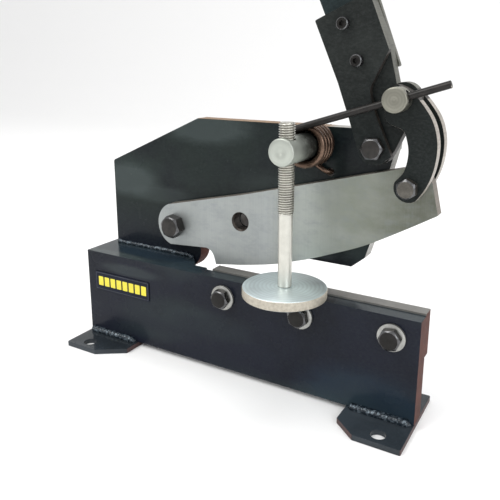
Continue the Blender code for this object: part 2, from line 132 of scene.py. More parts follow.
def add_studio():
    scene = bpy.context.scene
    scene.view_settings.view_transform = "Standard"
    world = bpy.data.worlds.new("studio")
    world.use_nodes = True
    background = world.node_tree.nodes["Background"]
    background.inputs["Color"].default_value = (1.0, 1.0, 1.0, 1)
    background.inputs["Strength"].default_value = 0.85
    scene.world = world
    area_light("key", (-0.9, -1.3, 1.9), (0, 0, 0.15), 1.2, 26, (1.0, 0.99, 0.97))
    area_light("fill", (1.6, -0.9, 0.9), (0, 0, 0.15), 1.0, 9, (0.96, 0.98, 1.0))
    area_light("top", (0.2, 0.5, 2.0), (0, 0, 0.1), 1.4, 14)

    profile = [(-4.0, 0.0), (1.6, 0.0)]
    profile += [(1.6 + 1.2 * sin(radians(a)), 1.2 - 1.2 * cos(radians(a))) for a in range(10, 91, 10)]
    profile += [(2.8, 5.0)]
    verts = [(x, y, z) for x in (-6.0, 6.0) for y, z in profile]
    n = len(profile)
    faces = [(i, i + 1, i + 1 + n, i + n) for i in range(n - 1)]
    mesh = bpy.data.meshes.new("floor")
    mesh.from_pydata(verts, [], faces)
    mesh.shade_smooth()
    floor_object = bpy.data.objects.new("floor", mesh)
    scene.collection.objects.link(floor_object)
    white = Nodes("floor_white")
    white.fill(white.shader, Base_Color=(0.93, 0.93, 0.93, 1), Roughness=0.9)
    mesh.materials.append(white.material)


# ---- materials ----
def scaled(colour, factor, lift=0.0):
    return tuple(c * factor + lift for c in colour)


class Nodes:
    """A new material in the palette, with short calls for building its node tree."""

    def __init__(self, name):
        self.material = PALETTE[name] = bpy.data.materials.new(name)
        self.material.use_nodes = True
        self.tree = self.material.node_tree
        self.shader = self.tree.nodes["Principled BSDF"]
        self.coordinates = self.tree.nodes.new("ShaderNodeTexCoord").outputs["Object"]

    def fill(self, node, **values):
        """Link or set a node's inputs; an underscore in a name stands for a space."""
        for name, value in values.items():
            socket = node.inputs[name.replace("_", " ")]
            if isinstance(value, bpy.types.NodeSocket):
                self.tree.links.new(value, socket)
            elif value is not None:
                socket.default_value = value

    def add(self, kind, **values):
        node = self.tree.nodes.new("ShaderNode" + kind)
        self.fill(node, **values)
        return node

    def mapped(self, scale=(1, 1, 1), location=(0, 0, 0)):
        node = self.add("Mapping", Scale=scale, Location=location, Vector=self.coordinates)
        return node.outputs["Vector"]

    def noise(self, vector, scale, detail=3.0, rough=0.55):
        node = self.add("TexNoise", Scale=scale, Detail=detail, Roughness=rough, Vector=vector)
        return node.outputs["Fac"]

    def ramp(self, factor, stops):
        node = self.add("ValToRGB", Fac=factor)
        elements = node.color_ramp.elements
        while len(elements) < len(stops):
            elements.new(0.5)
        for element, (position, colour) in zip(elements, stops):
            element.position, element.color = position, (*colour, 1)
        return node.outputs["Color"]

    def mask(self, factor, low, high, gain, start=0):
        """Grey that goes from start at low to gain at high."""
        return self.ramp(factor, [(low, (start,) * 3), (high, (gain,) * 3)])

    def mix(self, factor, a, b, blend="MIX"):
        node = self.tree.nodes.new("ShaderNodeMix")
        node.data_type, node.blend_type = "RGBA", blend
        a, b = ((*value, 1) if isinstance(value, tuple) else value for value in (a, b))
        self.fill(node, Factor=factor, A=a, B=b)
        return node.outputs["Result"]

    def span(self, factor, low, high):
        """Factor 0..1 spread between two values."""
        return self.add("MapRange", To_Min=low, To_Max=high, Value=factor).outputs["Result"]

    def level(self, axis, low, high):
        """0 to 1 between two places along an axis, in metres."""
        along = self.add("SeparateXYZ", Vector=self.coordinates).outputs[axis]
        return self.add("MapRange", From_Min=low, From_Max=high, Value=along).outputs["Result"]

    def times(self, a, b):
        node = self.add("Math")
        node.operation = "MULTIPLY"
        self.tree.links.new(a, node.inputs[0])
        self.tree.links.new(b, node.inputs[1])
        return node.outputs["Value"]

    def bump(self, height, strength, distance, normal=None):
        node = self.add("Bump", Strength=strength, Distance=distance, Height=height, Normal=normal)
        return node.outputs["Normal"]

    def finish(self, colour, rough, normal, metallic=0.0, specular=0.5, **more):
        self.fill(self.shader, Base_Color=colour, Roughness=rough, Normal=normal, Metallic=metallic,
                  Specular_IOR_Level=specular, **more)


def paint(name, upper, lower, rough, coat, dust, tide=(0.09, 0.15), painted_reflections=(), grit=0.25):
    """Sprayed paint: one tone low down and another above, hazy mottling, painted reflection patches, orange
    peel, dust.

    Each painted reflection patch is (centre, size, strength, colour), its centre and size in the drawing
    frame.
    """
    nodes = Nodes(name)
    base = nodes.mix(nodes.level("Z", *tide), lower, upper)
    haze = nodes.noise(nodes.mapped((0.6, 1, 1.9), (0.11, 0, 0.03)), 9, 2, 0.4)
    base = nodes.mix(nodes.mask(haze, 0.50, 0.72, 0.75), base, scaled(upper, 2.6, 0.006))
    dark = nodes.noise(nodes.mapped((1, 1, 1), (0.4, 0, 0.2)), 16, 3)
    base = nodes.mix(nodes.mask(dark, 0.35, 0.55, 0, 0.6), base, scaled(lower, 0.45))
    # Painted reflections: soft lighter patches that stand in for studio lamps mirrored in the paint.
    for centre, size, gain, reflection_colour in painted_reflections:
        scale = tuple(1 / (v * MM) for v in size)
        shift = tuple(-w * k for w, k in zip(place(*centre), scale))
        soft = nodes.add("TexGradient", Vector=nodes.mapped(scale, shift))
        soft.gradient_type = "QUADRATIC_SPHERE"
        wave = nodes.noise(nodes.mapped((1, 1, 5)), 60, 3)
        edge = nodes.times(soft.outputs["Fac"], nodes.span(wave, 0.4, 1.8))
        base = nodes.mix(nodes.mask(edge, 0.03, 0.30, gain), base, reflection_colour)
    fine = nodes.noise(nodes.mapped((1, 1, 1.6), (0.2, 0.1, 0)), 330, 5, 0.75)
    base = nodes.mix(nodes.mask(fine, 0.42, 0.68, grit), base, scaled(upper, 2.0, 0.012))
    speck = nodes.noise(nodes.mapped(), 900, 2, 0.7)
    base = nodes.mix(nodes.mask(speck, 0.70, 0.80, dust), base, scaled(upper, 4, 0.10))
    peel = nodes.bump(nodes.noise(nodes.mapped(), 420, 1.5), 0.12, 0.0004)
    gloss = nodes.span(nodes.noise(nodes.mapped(), 40, 3), rough * 0.7, rough * 1.3)
    nodes.finish(base, gloss, nodes.bump(speck, 0.10, 0.0002, peel), specular=0.11,
                 Coat_Weight=coat, Coat_Roughness=0.10)


def ground_steel(name, dark, light, metallic, rough, painted_shade_ramp=None):
    """Surface-ground steel: soft bands across the length, faint clouds and fine lines, with a painted shade
    ramp along X when one is given.
    """
    nodes = Nodes(name)
    lines = nodes.noise(nodes.mapped((900, 900, 14)), 1.0, 3, 0.6)
    cloud = nodes.noise(nodes.mapped((1, 1, 1.6)), 22, 5, 0.6)
    band = nodes.noise(nodes.mapped((1, 1, 0.12), (0.05, 0, 0)), 11, 2, 0.5)
    base = nodes.mix(nodes.mask(band, 0.38, 0.60, 0.8), dark, light)
    # Painted shade and reflection: the colour is multiplied by a ramp along X.
    if painted_shade_ramp:
        base = nodes.mix(1.0, base, nodes.ramp(nodes.level("X", 0.02, 0.19), painted_shade_ramp), "MULTIPLY")
    base = nodes.mix(nodes.mask(cloud, 0.40, 0.75, 0.35), base, scaled(light, 1.12))
    tarnish = nodes.noise(nodes.mapped((1, 1, 1.8), (0.3, 0, 0.1)), 75, 6, 0.7)
    base = nodes.mix(nodes.mask(tarnish, 0.48, 0.72, 0.40), base,
                     (dark[0] * 0.62, dark[1] * 0.66, dark[2] * 0.74))
    base = nodes.mix(nodes.mask(lines, 0.40, 0.75, 0.20), base, scaled(dark, 0.72))
    nodes.finish(base, nodes.span(cloud, rough * 0.85, rough * 1.2), nodes.bump(lines, 0.06, 0.0002),
                 metallic)


def turned_steel(name, colour, rough, centre, axis, rings, shade_and_tarnish_span=None):
    """Lathe-turned bright steel: fine rings about an axis, soft stains, and a painted shade broken by
    tarnish blotches that deepens from the first to the second Y.
    """
    nodes = Nodes(name)
    middle = nodes.mapped((1, 1, 1), tuple(-v for v in place(*centre)))
    wave = nodes.add("TexWave", Scale=rings, Distortion=0.4, Detail=1.0, Vector=middle)
    wave.wave_type, wave.rings_direction = "RINGS", axis
    stain = nodes.noise(nodes.mapped(), 60, 5, 0.6)
    base = nodes.ramp(stain, [(0.25, scaled(colour, 0.80)), (0.75, colour)])
    base = nodes.mix(nodes.mask(wave.outputs["Fac"], 0.2, 0.9, 0.45), base, scaled(colour, 0.72))
    # Painted shade with tarnish blotches: the colour darkens along Y between the two given places and stays
    # dark beyond.
    if shade_and_tarnish_span:
        along = nodes.level("Y", *(place(0, y, 0).y for y in shade_and_tarnish_span))
        blotch = nodes.span(nodes.noise(nodes.mapped(), 240, 4, 0.7), 0.0, 1.9)
        base = nodes.mix(nodes.mask(nodes.times(along, blotch), 0.0, 0.9, 1), base, scaled(colour, 0.10))
    nodes.finish(base, nodes.span(stain, rough * 0.8, rough * 1.3),
                 nodes.bump(wave.outputs["Fac"], 0.18, 0.0002), 0.85)


def plain_metal(name, dark, light, metallic, rough, scale=90, bump=0.10, spread=(0.3, 0.7),
                specular=0.5):
    """Plated, oxidised or sawn metal: mottled colour and roughness, slight grain."""
    nodes = Nodes(name)
    cloud = nodes.noise(nodes.mapped(), scale, 5, 0.65)
    grain = nodes.noise(nodes.mapped(), 1400, 2)
    nodes.finish(nodes.ramp(cloud, [(spread[0], dark), (spread[1], light)]),
                 nodes.span(cloud, rough * 0.75, rough * 1.25), nodes.bump(grain, bump, 0.0003),
                 metallic, specular)


def cut_edge(name, dark, light, metallic, rough, specular=0.5, worn=None):
    """Flame-cut edge: drag lines across the thickness over mottled colour, bare past X worn[0]."""
    nodes = Nodes(name)
    cloud = nodes.noise(nodes.mapped(), 70, 5, 0.7)
    drag = nodes.noise(nodes.mapped((1, 0.06, 1)), 900, 3, 0.6)
    base = nodes.ramp(cloud, [(0.3, dark), (0.68, light)])
    if worn:
        past = nodes.level("X", *(place(worn[0] + side, 0, 0).x for side in (-4, 4)))
        base = nodes.mix(past, base, worn[1])
    base = nodes.mix(nodes.mask(drag, 0.35, 0.6, 0, 0.4), base, scaled(dark, 0.6))
    nodes.finish(base, nodes.span(cloud, rough * 0.85, rough * 1.2), nodes.bump(drag, 0.25, 0.0004),
                 metallic, specular)


def make_paints():
    # The navy paint's patches are painted reflections: pale bands on the body plate, a glare on the base's
    # front face near its top edge at the left, and a blue glow low on the base's front face at the right.
    paint("paint_navy", (0.0095, 0.0150, 0.0140), (0.0075, 0.0090, 0.0180), 0.26, 0.09, 0.10,
          painted_reflections=(((26, 40, 172), (62, 60, 26), 0.60, REFLECTION_GREY), ((70, 40, 160), (70, 60, 14), 0.30, REFLECTION_GREY),
                   ((130, 40, 236), (80, 60, 26), 0.55, REFLECTION_GREY), ((205, 40, 170), (60, 60, 40), 0.22, REFLECTION_GREY),
                   ((320, 0, 12), (90, 60, 48), 0.40, REFLECTION_BLUE), ((60, 0, 84), (60, 30, 9), 0.35, REFLECTION_GREY)))
    top, bar, foot = (0.015, 0.024, 0.030), (0.016, 0.025, 0.027), (0.017, 0.022, 0.027)
    # The flange top is a lighter, bluer copy of the navy paint, a painted reflection of the light from
    # above, with a painted glare near its left front edge and a blue painted reflection further along.
    paint("flange_top_painted_reflection", top, top, 0.24, 0.26, 0.10,
          painted_reflections=(((34, 4, 98), (80, 12, 30), 0.75, REFLECTION_GREY), ((70, 24, 98), (80, 20, 30), 0.35, REFLECTION_BLUE)))
    paint("paint_lever", (0.0138, 0.0160, 0.0152), (0.0095, 0.0125, 0.0122), 0.42, 0.0, 0.16,
          (0.24, 0.30), grit=0.42)
    paint("paint_bar", bar, bar, 0.40, 0.0, 0.16)
    # The feet's lighter, bluer copy of the navy paint is a painted reflection of the light from above on
    # their tops.
    paint("foot_paint_painted_reflection", foot, foot, 0.20, 0.40, 0.4)


def make_steels():
    """Bright steels, then cut edges and plain metals as (dark, light, metallic, roughness, ...)."""
    # The blade's ramp is painted shade and reflection: lighter and bluish at the left end, darker and more
    # olive towards the right end.
    ground_steel("blade_steel", (0.30, 0.315, 0.30), (0.38, 0.395, 0.385), 0.6, 0.42,
                 [(0.0, (1.0, 1.02, 1.06)), (0.12, (0.80, 0.82, 0.79)), (0.22, (0.92, 0.95, 0.92)),
                  (0.50, (0.56, 0.585, 0.50)), (0.85, (0.28, 0.285, 0.215))])
    ground_steel("blade_low_steel", (0.17, 0.165, 0.155), (0.28, 0.275, 0.26), 0.5, 0.5)
    turned_steel("pin_steel", (0.26, 0.255, 0.215), 0.34, (LINK_PIN[0], 0, LINK_PIN[1]), "Y", 130)
    # The shaft's back darkens towards the coil: painted shade, broken by tarnish blotches.
    turned_steel("shaft_steel", (0.52, 0.55, 0.50), 0.42, (SHAFT[0], 0, SHAFT[1]), "Y", 45, (-16, 6))
    turned_steel("disc_steel", (0.87, 0.98, 1.0), 0.38, (SHAFT[0], SCREW_Y, 0), "Z", 90)

    cut_edge("foot_end", (0.028, 0.012, 0.012), (0.075, 0.028, 0.026), 0.0, 0.5)
    cut_edge("edge_brown", (0.055, 0.020, 0.015), (0.125, 0.047, 0.036), 0.0, 0.6, 0.12)
    cut_edge("edge_tan", (0.18, 0.105, 0.052), (0.31, 0.195, 0.112), 0.1, 0.5, 0.3,
             (263, (0.42, 0.42, 0.40)))
    cut_edge("edge_light", (0.30, 0.27, 0.235), (0.50, 0.46, 0.41), 0.3, 0.45)
    cut_edge("edge_dim", (0.014, 0.013, 0.012), (0.055, 0.045, 0.038), 0.1, 0.5)
    cut_edge("edge_pink", (0.14, 0.125, 0.105), (0.24, 0.21, 0.18), 0.2, 0.5)
    cut_edge("edge_grey", (0.085, 0.086, 0.070), (0.150, 0.150, 0.125), 0.3, 0.45)
    cut_edge("edge_dark", (0.010, 0.008, 0.009), (0.030, 0.020, 0.020), 0.0, 0.9)

    # Weld beads: dark paint with pale blue-white specks, painted glints on the ripples.
    plain_metal("weld_paint_with_painted_glints", (0.007, 0.014, 0.022), (0.20, 0.25, 0.29), 0.2, 0.18, 330, 0.6,
                (0.50, 0.70))
    # Hole walls: the dark colour is painted shade inside the bores.
    plain_metal("hole_painted_shade", (0.012, 0.011, 0.010), (0.07, 0.055, 0.045), 0.5, 0.4, 200)
    plain_metal("black_oxide", (0.007, 0.0065, 0.006), (0.018, 0.0165, 0.0155), 0.3, 0.30, 160,
                specular=0.25)
    plain_metal("oxide_rim", (0.05, 0.05, 0.052), (0.16, 0.16, 0.165), 0.85, 0.24, 160)
    plain_metal("oxide_worn", (0.012, 0.0115, 0.011), (0.038, 0.034, 0.031), 0.5, 0.36, 160)
    plain_metal("oxide_bare", (0.050, 0.047, 0.040), (0.145, 0.135, 0.120), 0.7, 0.34, 160)
    plain_metal("zinc", (0.27, 0.27, 0.255), (0.46, 0.46, 0.44), 0.85, 0.34, 120)
    plain_metal("disc_edge", (0.36, 0.33, 0.27), (0.56, 0.52, 0.44), 0.5, 0.45, 400, 0.3)
    plain_metal("thread_steel", (0.50, 0.495, 0.45), (0.68, 0.67, 0.61), 0.8, 0.32, 60)
    # Groove faces of the thread: a darker copy of the thread steel, painted shade in the grooves.
    plain_metal("thread_groove_shade", (0.20, 0.19, 0.165), (0.34, 0.325, 0.285), 0.6, 0.45, 60)
    plain_metal("spring_leg", (0.009, 0.0085, 0.008), (0.024, 0.021, 0.019), 0.2, 0.33, 120,
                specular=0.3)
    plain_metal("spring_coil", (0.048, 0.028, 0.019), (0.185, 0.120, 0.086), 0.75, 0.26)


def make_rubber_and_label():
    plain_metal("grip_rubber", (0.010, 0.010, 0.010), (0.022, 0.022, 0.023), 0.0, 0.62, 60, 0.3)
    plain_metal("label_blue", (0.006, 0.008, 0.017), (0.008, 0.011, 0.023), 0.0, 0.34, 50, 0.03,
                specular=0.12)
    plain_metal("label_grey", (0.070, 0.075, 0.085), (0.10, 0.105, 0.12), 0.0, 0.4, 50, 0.03,
                specular=0.12)
    plain_metal("label_gold", (0.66, 0.58, 0.03), (0.80, 0.70, 0.05), 0.0, 0.4, 50, 0.03)


# ---- mesh helpers ----
def arc(cx, cz, r, start, end, step=5.0):
    """Points on an arc, degrees counter-clockwise seen from the front."""
    count = max(2, ceil(abs(end - start) / step))
    return [(cx + r * cos(radians(start + (end - start) * i / count)),
             cz + r * sin(radians(start + (end - start) * i / count))) for i in range(count + 1)]


def smooth(points, steps=5):
    """Rounded curve through points, ends included."""
    result = []
    for i in range(len(points) - 1):
        p0, p1, p2 = points[max(i - 1, 0)], points[i], points[i + 1]
        p3 = points[min(i + 2, len(points) - 1)]
        for s in range(steps):
            t = s / steps
            weights = (-t ** 3 + 2 * t ** 2 - t, 3 * t ** 3 - 5 * t ** 2 + 2,
                       -3 * t ** 3 + 4 * t ** 2 + t, t ** 3 - t ** 2)
            result.append(tuple(0.5 * sum(w * p[k] for w, p in zip(weights, (p0, p1, p2, p3)))
                                for k in range(len(p1))))
    return result + [tuple(points[-1])]


def rounded(outline, corners, r, steps=4):
    """Outline with the named corner numbers rounded to radius r."""
    result = []
    n = len(outline)
    for i, point in enumerate(outline):
        if i not in corners:
            result.append(point)
            continue
        here = Vector(point)
        before, after = Vector(outline[i - 1]) - here, Vector(outline[(i + 1) % n]) - here
        half = before.angle(after) / 2
        back = min(r / tan(half), before.length * 0.45, after.length * 0.45)
        start, end = here + before.normalized() * back, here + after.normalized() * back
        for s in range(steps + 1):
            t = s / steps
            p = start * (1 - t) ** 2 + here * 2 * t * (1 - t) + end * t ** 2
            result.append((p.x, p.y))
    return result


def rectangle(x0, x1, z0, z1, r):
    return rounded([(x0, z0), (x1, z0), (x1, z1), (x0, z1)], (0, 1, 2, 3), r)


def on_handle(side, along):
    return (SCREW_LOW[0] + SIDE[0] * side + AXIS[0] * along,
            SCREW_LOW[1] + SIDE[1] * side + AXIS[1] * along)


def raw_object(name, verts, faces, indices=None):
    mesh = bpy.data.meshes.new(name)
    mesh.from_pydata([tuple(v) for v in verts], [], faces)
    mesh.validate()
    obj = bpy.data.objects.new(name, mesh)
    bpy.context.scene.collection.objects.link(obj)
    if indices:
        for polygon, index in zip(mesh.polygons, indices):
            polygon.material_index = index
    mesh.calc_loop_triangles()
    volume = sum(mesh.vertices[t.vertices[0]].co.dot(
        mesh.vertices[t.vertices[1]].co.cross(mesh.vertices[t.vertices[2]].co))
        for t in mesh.loop_triangles)
    if volume < 0:
        mesh.flip_normals()
    return obj


def prism(name, outline, low, high, flat=False):
    """Solid from an outline in XZ between two Y (or in XY between two Z when flat).

    Its two broad faces take material 0 and its edge faces material 1.
    """
    n = len(outline)
    if flat:
        verts = [place(a, b, h) for h in (low, high) for a, b in outline]
    else:
        verts = [place(a, h, b) for h in (low, high) for a, b in outline]
    faces = [tuple(range(n)), tuple(range(2 * n - 1, n - 1, -1))]
    faces += [(i, i + n, (i + 1) % n + n, (i + 1) % n) for i in range(n)]
    return raw_object(name, verts, faces, [0, 0] + [1] * n)


def block(name, x0, x1, y0, y1, z0, z1):
    return prism(name, [(x0, z0), (x1, z0), (x1, z1), (x0, z1)], y0, y1)


def skin(rows, around, closed=False):
    """Quads between rows of points, with a cap on the first and last row unless closed."""
    faces = []
    for j in range(rows if closed else rows - 1):
        a, b = j * around, (j + 1) % rows * around
        faces += [(a + k, a + (k + 1) % around, b + (k + 1) % around, b + k) for k in range(around)]
    if not closed:
        faces += [tuple(range(around))[::-1], tuple(range((rows - 1) * around, rows * around))]
    return faces


def turned(name, centre, rings, axis="Y", steps=48, closed=False, rims=(), spin=0.0):
    """Round or hexagonal piece about an axis; rings are (position, radius, shape, dip).

    The shape is round unless it says "hex", whose radius is half the width across flats and whose
    corners dip along the axis by that slope.  The rows of faces named in rims take material 1.
    """
    verts = []
    for ring in rings:
        pos, r, shape, dip = (*ring, *("round", 0.0)[len(ring) - 2:])
        for k in range(steps):
            a = 2 * pi * k / steps
            reach, along = r, pos
            if shape == "hex":
                reach = r / cos((a - radians(spin) + pi / 6) % (pi / 3) - pi / 6)
                along = pos + (reach - r) * dip
            u, v = centre[0] + reach * cos(a), centre[1] + reach * sin(a)
            verts.append(place(u, along, v) if axis == "Y" else place(u, v, along))
    rows = len(rings)
    indices = [int(j in rims) for j in range(rows) for k in range(steps)]
    return raw_object(name, verts, skin(rows, steps, closed), indices)


def sweep(name, path, r, steps, index=None, thin=None):
    """Round wire along a path of drawing-frame points.

    index gives each step's material, and thin scales the radius at each step.
    """
    points = [Vector(p) for p in path]
    normal = (points[1] - points[0]).orthogonal().normalized()
    verts, last = [], len(points) - 1
    rings = [(0, r * 0.75, -0.0), (0, r, 0.35)] + [(i, r, 0.0) for i in range(1, last)]
    rings += [(last, r, -0.35), (last, r * 0.75, 0.0)]
    for i, radius, shift in rings:
        tangent = (points[min(i + 1, last)] - points[max(i - 1, 0)]).normalized()
        normal = (normal - tangent * normal.dot(tangent)).normalized()
        other = tangent.cross(normal)
        for k in range(steps):
            a = 2 * pi * k / steps
            reach = radius * (thin(i) if thin else 1.0)
            verts.append(place(*(points[i] + tangent * shift + (normal * cos(a) + other * sin(a)) * reach)))
    indices = [index(i) if index else 0 for i, _, _ in rings[:-1] for k in range(steps)]
    return raw_object(name, verts, skin(len(rings), steps), indices + [indices[0], indices[-1]])


def rod(start, end, r, steps=48):
    """Round cutting tool between two points; its faces carry material 1."""
    tool = sweep("tool", [start, end], r, steps)
    choose(tool, lambda normal, centre, now: 1)
    return tool


def choose(obj, rule):
    """Give each face the material number that rule(normal, centre, its number now) gives."""
    for polygon in obj.data.polygons:
        polygon.material_index = int(rule(polygon.normal, polygon.center, polygon.material_index))


def apply_modifiers(obj):
    bpy.context.view_layer.update()
    graph = bpy.context.evaluated_depsgraph_get()
    mesh = bpy.data.meshes.new_from_object(obj.evaluated_get(graph), depsgraph=graph)
    obj.modifiers.clear()
    obj.data = mesh
    mesh.name = obj.name


def combine(obj, tool, operation="DIFFERENCE"):
    modifier = obj.modifiers.new("cut", "BOOLEAN")
    modifier.operation, modifier.solver, modifier.object = operation, "EXACT", tool
    apply_modifiers(obj)
    bpy.data.objects.remove(tool)


def drill(obj, holes, span, steps=48):
    """Bore holes, each ((x, z), radius), with a tool that runs 5 mm past both Y of the span."""
    for (x, z), r in holes:
        combine(obj, rod((x, span[0] - 5, z), (x, span[1] + 5, z), r, steps))


def dress(obj, body, materials, nodes=(), bevel=0.0, sharp=40):
    """Bevel, shade, give materials, then ride on a body and stand for CAD nodes."""
    if bevel:
        modifier = obj.modifiers.new("edges", "BEVEL")
        modifier.width, modifier.segments = bevel * MM, 2
        modifier.limit_method, modifier.angle_limit = "ANGLE", radians(32)
        modifier.use_clamp_overlap = True
        apply_modifiers(obj)
    mesh = obj.data
    indices = [polygon.material_index for polygon in mesh.polygons]
    mesh.materials.clear()
    for name in materials:
        mesh.materials.append(PALETTE[name])
    mesh.polygons.foreach_set("material_index", [min(i, len(materials) - 1) for i in indices])
    mesh.shade_smooth()
    mesh.set_sharp_from_angle(angle=radians(sharp))
    if bevel:
        modifier = obj.modifiers.new("normals", "WEIGHTED_NORMAL")
        modifier.keep_sharp = True
        apply_modifiers(obj)
    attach(obj, body)
    if nodes:
        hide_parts(*nodes)


def hex_bolt(name, centre, head_y, under_y, end_y, r, flats, body, spin, material):
    """Bolt along Y: chamfered hex head in front, washer face behind it, shank with a pointed end."""
    half = flats / 2
    bolt = turned(name, centre,
                  [(head_y, half * 0.84), (head_y + 0.12, half * 0.88),
                   (head_y + 0.75, half * 0.97, "hex", 0.75), (head_y + 1.0, half, "hex", 0.65),
                   (under_y - 0.7, half, "hex"), (under_y - 0.7, half * 0.95),
                   (under_y, half * 0.95), (under_y, r), (end_y - 1, r), (end_y, r - 1)],
                  steps=72, spin=spin, rims=(1, 2))
    dress(bolt, body, [material, "oxide_rim"], [name], sharp=28)


def hex_nut(name, centre, y0, y1, r, flats, body):
    half = flats / 2
    nut = turned(name, centre,
                 [(y0, half * 0.95), (y0 + 0.3, half, "hex", 0.5), (y1 - 0.3, half, "hex", -0.5),
                  (y1, half * 0.95), (y1, r + 0.5), (y1 - 0.6, r),
                  (y0 + 0.6, r), (y0, r + 0.5)], steps=60, closed=True)
    dress(nut, body, ["black_oxide"], [name])


def washer(name, centre, y0, y1, bore, r, body, edge=0.35):
    ring = turned(name, centre,
                  [(y0, r - edge), (y0 + edge * 0.6, r), (y1, r),
                   (y1, bore), (y0 + 0.2, bore), (y0, bore + 0.2)],
                  steps=56, closed=True)
    dress(ring, body, ["zinc"], [name])


def pivot(name, centre, head_y, under_y, flats, spin):
    """Pivot bolt, with its washer and nut behind the body plate."""
    back = BODY_Y[1]
    hex_bolt(name + "_bolt", centre, head_y, under_y, 72.0, 6.0, flats, "frame", spin,
             "oxide_worn")
    washer(name + "_washer", centre, back + GAP, back + 2.8, PIVOT_BORE, 12.0, "frame")
    hex_nut(name + "_nut", centre, back + 3.1, back + 13.1, 6.2, 19.0, "frame")


# ---- base ----
def build_base():
    base = block("base", 0, LENGTH, 0, PLATE_T, FOOT_T + GAP, BASE_TOP)
    flange = [(0, PLATE_T - 5), (FLANGE_END, PLATE_T - 5), (FLANGE_END, PLATE_T + 3),
              (FLANGE_MID_END, BODY_Y[0] - GAP), (TOE_X - GAP, BODY_Y[0] - GAP),
              (TOE_X - GAP, FLANGE_BACK), (0, FLANGE_BACK)]
    combine(base, prism("tool", flange, BASE_TOP - FLANGE_T, BASE_TOP, flat=True), "UNION")
    combine(base, block("tool", SEAT_X, LENGTH + 5, SEAT_T, PLATE_T + 5, SEAT_Z, BASE_TOP + 5))
    drill(base, [((x, BLADE_BOLT_Z), 5.4) for x in BLADE_BOLTS.values()], (0, PLATE_T), 32)
    top = place(0, 0, BASE_TOP - 1).z

    def face_material(normal, centre, now):
        right_end = normal.x > 0.9 and centre.x > RIGHT_END
        skew_end = 0.5 < normal.x < 0.99
        # Top faces take the flange-top paint, whose lighter blue tone is a painted reflection.
        on_top = normal.z > 0.9 and centre.z > top
        return 1 if right_end else 2 if skew_end else 3 if on_top else 0
    choose(base, face_material)
    dress(base, "frame", ["paint_navy", "edge_brown", "edge_dark", "flange_top_painted_reflection"], ["base_angle"],
          0.9)
    gusset = block("gusset_plate", 22, 34, PLATE_T + GAP, FOOT_BACK - 2, FOOT_T + GAP,
                   BASE_TOP - FLANGE_T - GAP)
    dress(gusset, "frame", ["paint_navy", "paint_navy"], ["gusset"], 0.7)

    shapes = {"foot_left": foot_outline(39.5, 67.0, -18.0, 1, 0),
              "foot_right": foot_outline(40.5, 60.0, -21.0, -1, LENGTH)}
    for name, outline in shapes.items():
        foot = prism(name + "_plate", outline, 0, FOOT_T, flat=True)
        hole_x = FOOT_HOLE_X if name == "foot_left" else LENGTH - FOOT_HOLE_X
        for y in FOOT_HOLE_Y:
            combine(foot, rod((hole_x, y, -5), (hole_x, y, FOOT_T + 5), FOOT_HOLE_R))
        middle, left = place(hole_x, 0, 0).x, name == "foot_left"
        choose(foot, lambda normal, centre, now: abs(centre.x - middle) >= 0.008
               and (normal.x > 0.9 if left else abs(normal.x) > 0.3))
        dress(foot, "frame", ["foot_paint_painted_reflection", "foot_end"], [name], 0.6)

    bead("bead_foot_left", 2, 64, -GAP, FOOT_T + GAP, 6.0, -1, "weld_foot_left")
    bead("bead_foot_right", LENGTH - 57, LENGTH - 2, -GAP, FOOT_T + GAP, 6.0, -1, "weld_foot_right")
    bead("bead_body_front", 8, 108, BODY_Y[0] - GAP, BASE_TOP + GAP, 4.0, -1, "weld_body_front")
    bead("bead_body_rear", 8, 102, BODY_Y[1] + GAP, BASE_TOP + GAP, 4.8, 1, "weld_body_rear")
    y, z = BODY_Y[0] - 2.2, BASE_TOP + 1.6
    hook = sweep("bead_body_end", smooth([(104, y, z), (109, y, z), (112.2, y, z - 2.0), (113.4, y, z - 6),
                                          (113.4, y, z - 13)]), 1.9, 12)
    dress(hook, "frame", ["weld_paint_with_painted_glints"], sharp=60)


def foot_outline(nose, width, bevel_y, direction, start):
    points = [(0, FOOT_FRONT), (nose, FOOT_FRONT), (width, bevel_y), (width, FOOT_BACK), (0, FOOT_BACK)]
    return rounded([(start + direction * x, y) for x, y in points], (0, 1, 2, 3, 4), 1.5, 3)


def bead(name, x0, x1, y_face, z_face, leg, side, node):
    """Fillet weld along X: a rippled convex bead in the corner of a wall and a floor."""
    length = x1 - x0
    count = int(length / 0.55)
    around = 9
    verts = []
    for i in range(count + 1):
        along = length * i / count
        taper = min(1.0, (0.30 + min(along, length - along) / 3.5))
        wobble = 0.035 * sin(along * 0.9) + 0.025 * sin(along * 2.3 + 1.0)
        for k in range(around):
            a = pi / 2 * k / (around - 1)
            skew = 1.5 * sin(2 * a)
            phase = ((along + skew) / 3.1) % 1.0
            ripple = 0.10 * (1.0 - phase) * sin(2 * a)
            reach = leg * taper * (0.80 + 0.10 * sin(2 * a) + wobble * sin(2 * a) + ripple)
            verts.append(place(x0 + along, y_face + side * reach * cos(a), z_face + reach * sin(a)))
        verts.append(place(x0 + along, y_face, z_face))
    obj = raw_object(name, verts, skin(count + 1, around + 1))
    dress(obj, "frame", ["weld_paint_with_painted_glints"], [node], sharp=60)


